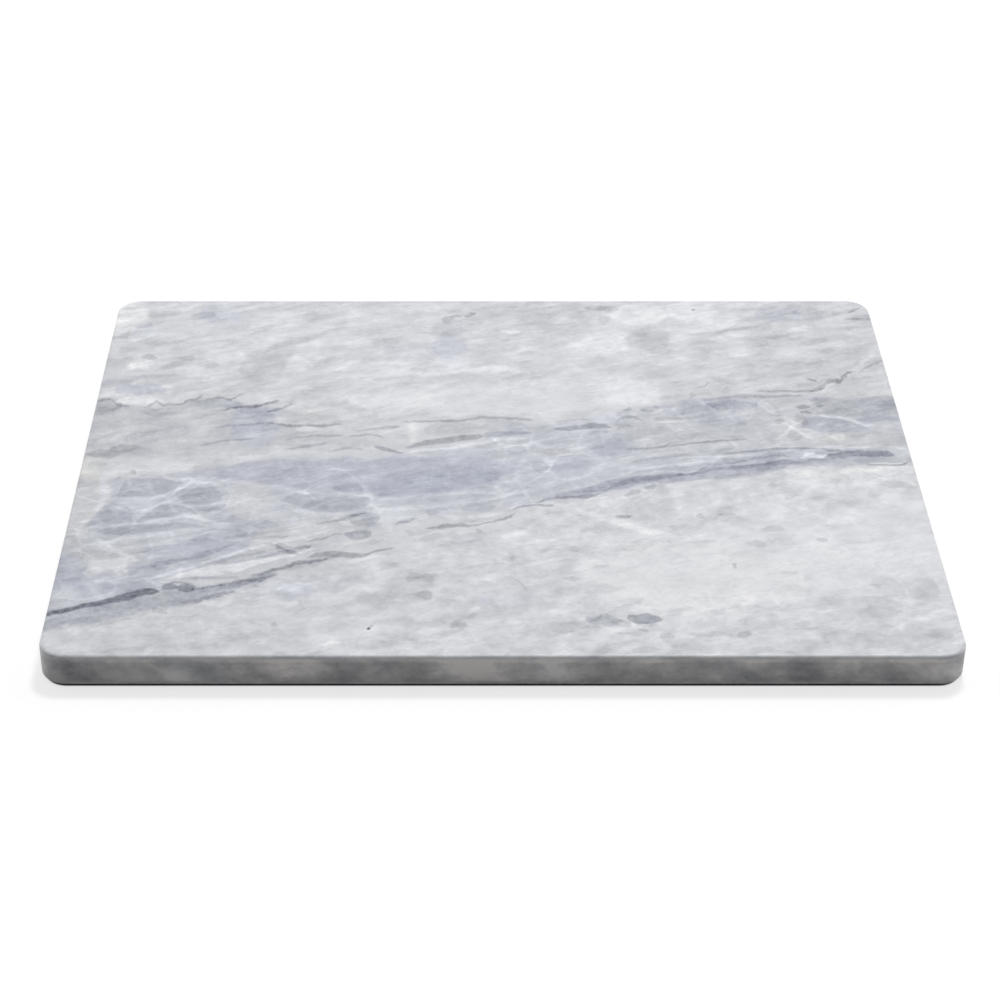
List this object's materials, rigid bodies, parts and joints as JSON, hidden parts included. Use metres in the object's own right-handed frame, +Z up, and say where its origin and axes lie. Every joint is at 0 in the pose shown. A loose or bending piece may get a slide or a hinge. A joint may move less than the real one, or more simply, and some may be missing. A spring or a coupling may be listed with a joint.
{
  "type": "marble pastry board",
  "caption": "Rectangular honed marble slab with rounded corners and eased edges on low rubber feet, for rolling and chilling pastry dough.",
  "frame": {"origin": "on the surface that the board stands on, under the middle of the board", "axes": "+X along the long side, +Y along the short side towards the back, +Z up out of the working face"},
  "size_m": [0.508, 0.4064, 0.0215],
  "materials": {
    "marble": "honed grey and white marble with a blue-grey veined band",
    "foot_rubber": "matt moulded rubber",
    "adhesive_foam": "closed-cell foam adhesive"
  },
  "bodies": {
    "root": {"marble_slab": "marble", "foot_front_left": "foot_rubber", "foot_front_right": "foot_rubber", "foot_back_left": "foot_rubber", "foot_back_right": "foot_rubber", "adhesive_front_left": "adhesive_foam", "adhesive_front_right": "adhesive_foam", "adhesive_back_left": "adhesive_foam", "adhesive_back_right": "adhesive_foam"}
  },
  "joints": []
}
